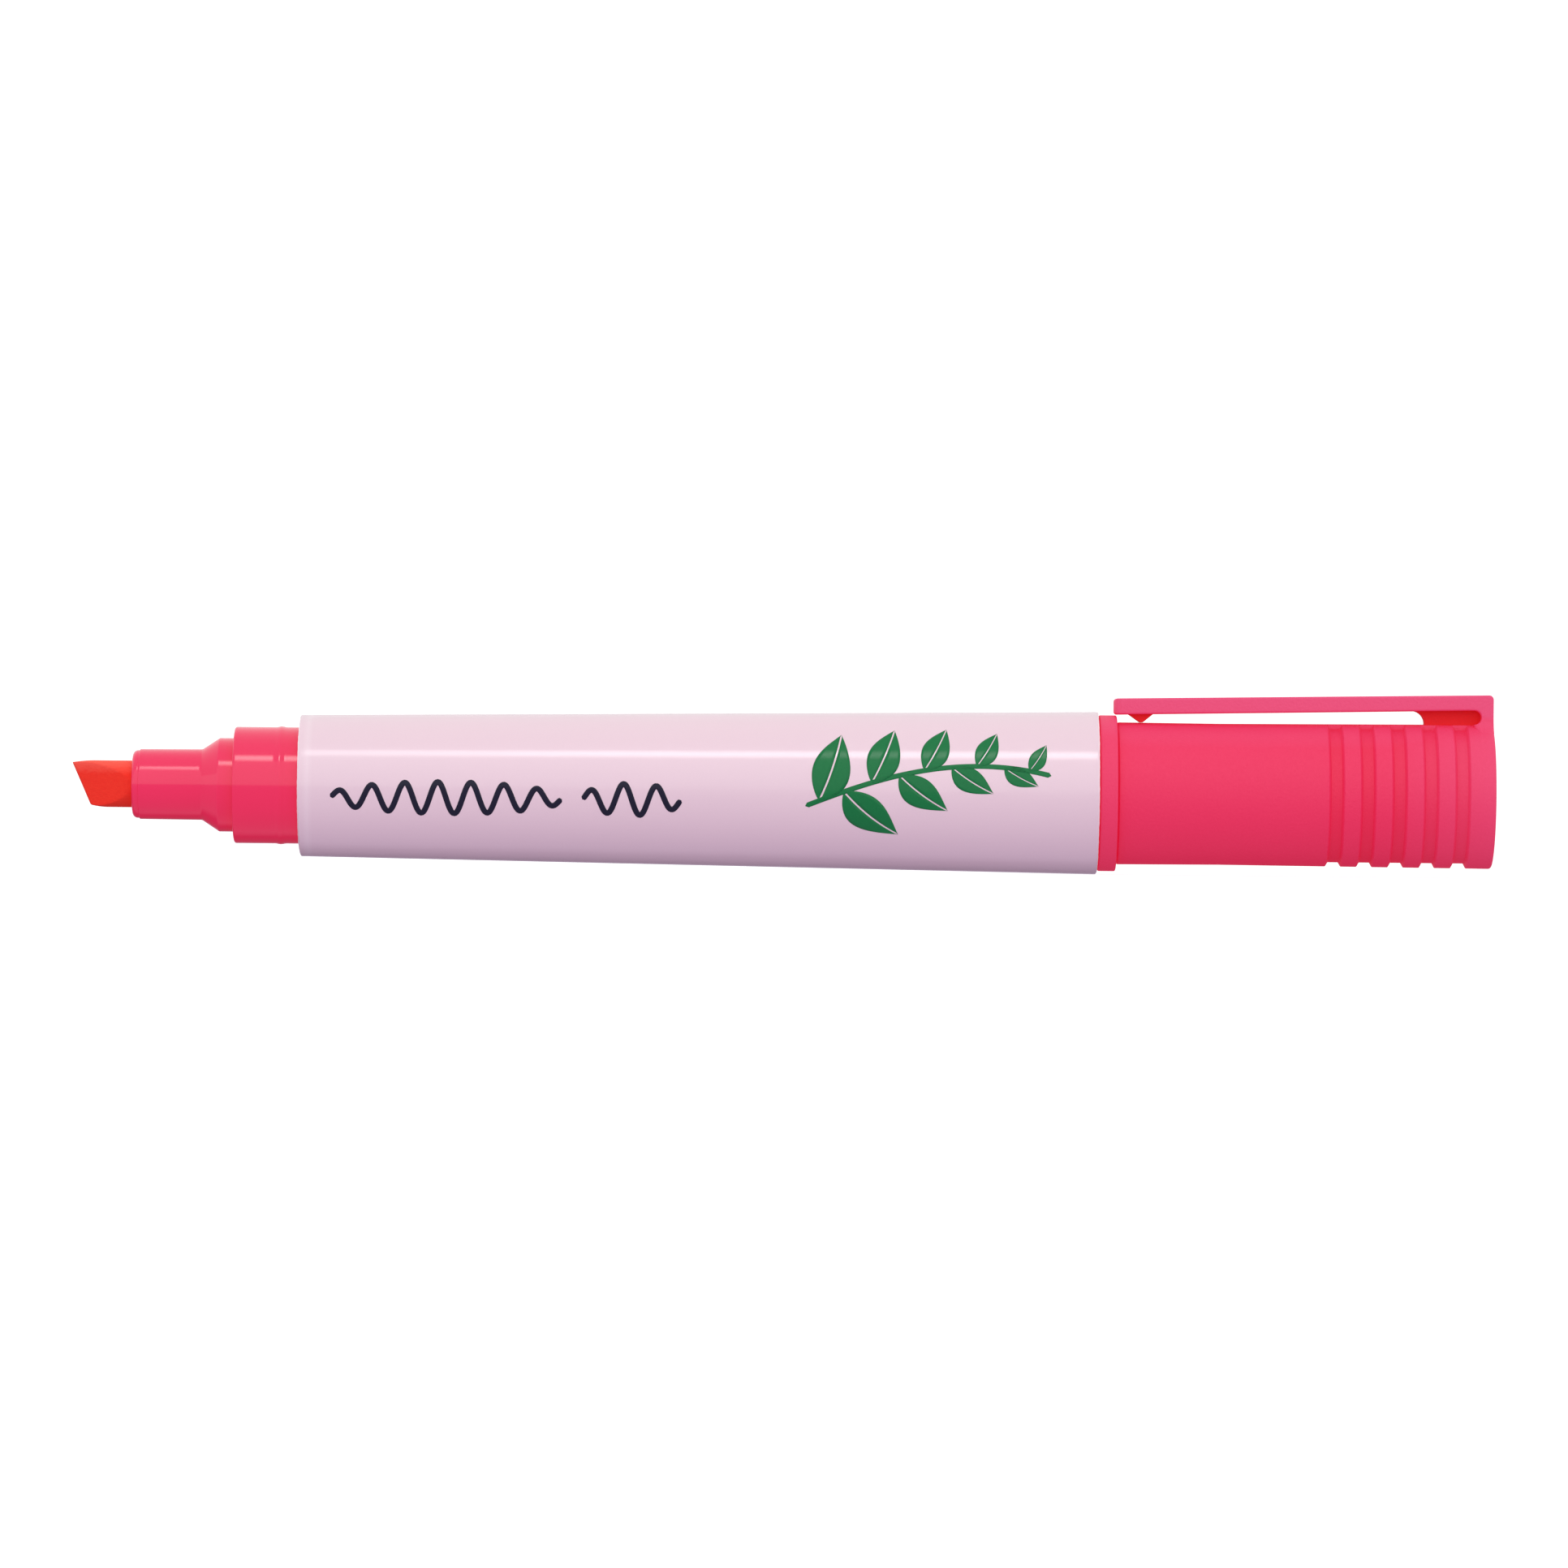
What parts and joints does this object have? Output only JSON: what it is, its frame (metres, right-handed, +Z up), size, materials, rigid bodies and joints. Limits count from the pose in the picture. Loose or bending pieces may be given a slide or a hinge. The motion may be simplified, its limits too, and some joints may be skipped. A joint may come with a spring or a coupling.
{
  "type": "highlighter",
  "caption": "Chisel-nib highlighter with a tapered barrel in a shrunk label sleeve, and a ribbed, clipped cap posted on the tail.",
  "frame": {"origin": "under the middle of the pen's box, on the surface that the pen lies on", "axes": "+X along the pen's axis from the nib to the closed end of the posted cap, +Y across the pen, +Z up towards the clip"},
  "size_m": [0.1548, 0.0178, 0.0199],
  "materials": {
    "nib_felt": "matte",
    "gloss_pink": "gloss",
    "matte_pink": "matte",
    "label_film": "satin",
    "ink_fibre": "matte",
    "clear_film": "gloss",
    "liner_plastic": "satin"
  },
  "bodies": {
    "pen": {"nib": "nib_felt", "nib_holder": "gloss_pink", "barrel": "gloss_pink", "label_sleeve": "label_film", "ink_reservoir": "ink_fibre", "reservoir_wrap": "clear_film", "tail_plug": "matte_pink"},
    "cap": {"cap_shell": "matte_pink", "cap_liner": "liner_plastic"},
    "clip": {"cap_clip": "matte_pink"}
  },
  "joints": [
    {"name": "cap_slide", "type": "slide", "parent": "pen", "child": "cap", "axis": [1, 0, 0], "range_m": [0, 0.06]},
    {"name": "clip_flex", "type": "hinge", "parent": "cap", "child": "clip", "pos_m": [0.06455, 0, 0.01969], "axis": [0, 1, 0], "range_deg": [0, 7], "stiffness_Nm_per_rad": 1.8}
  ]
}
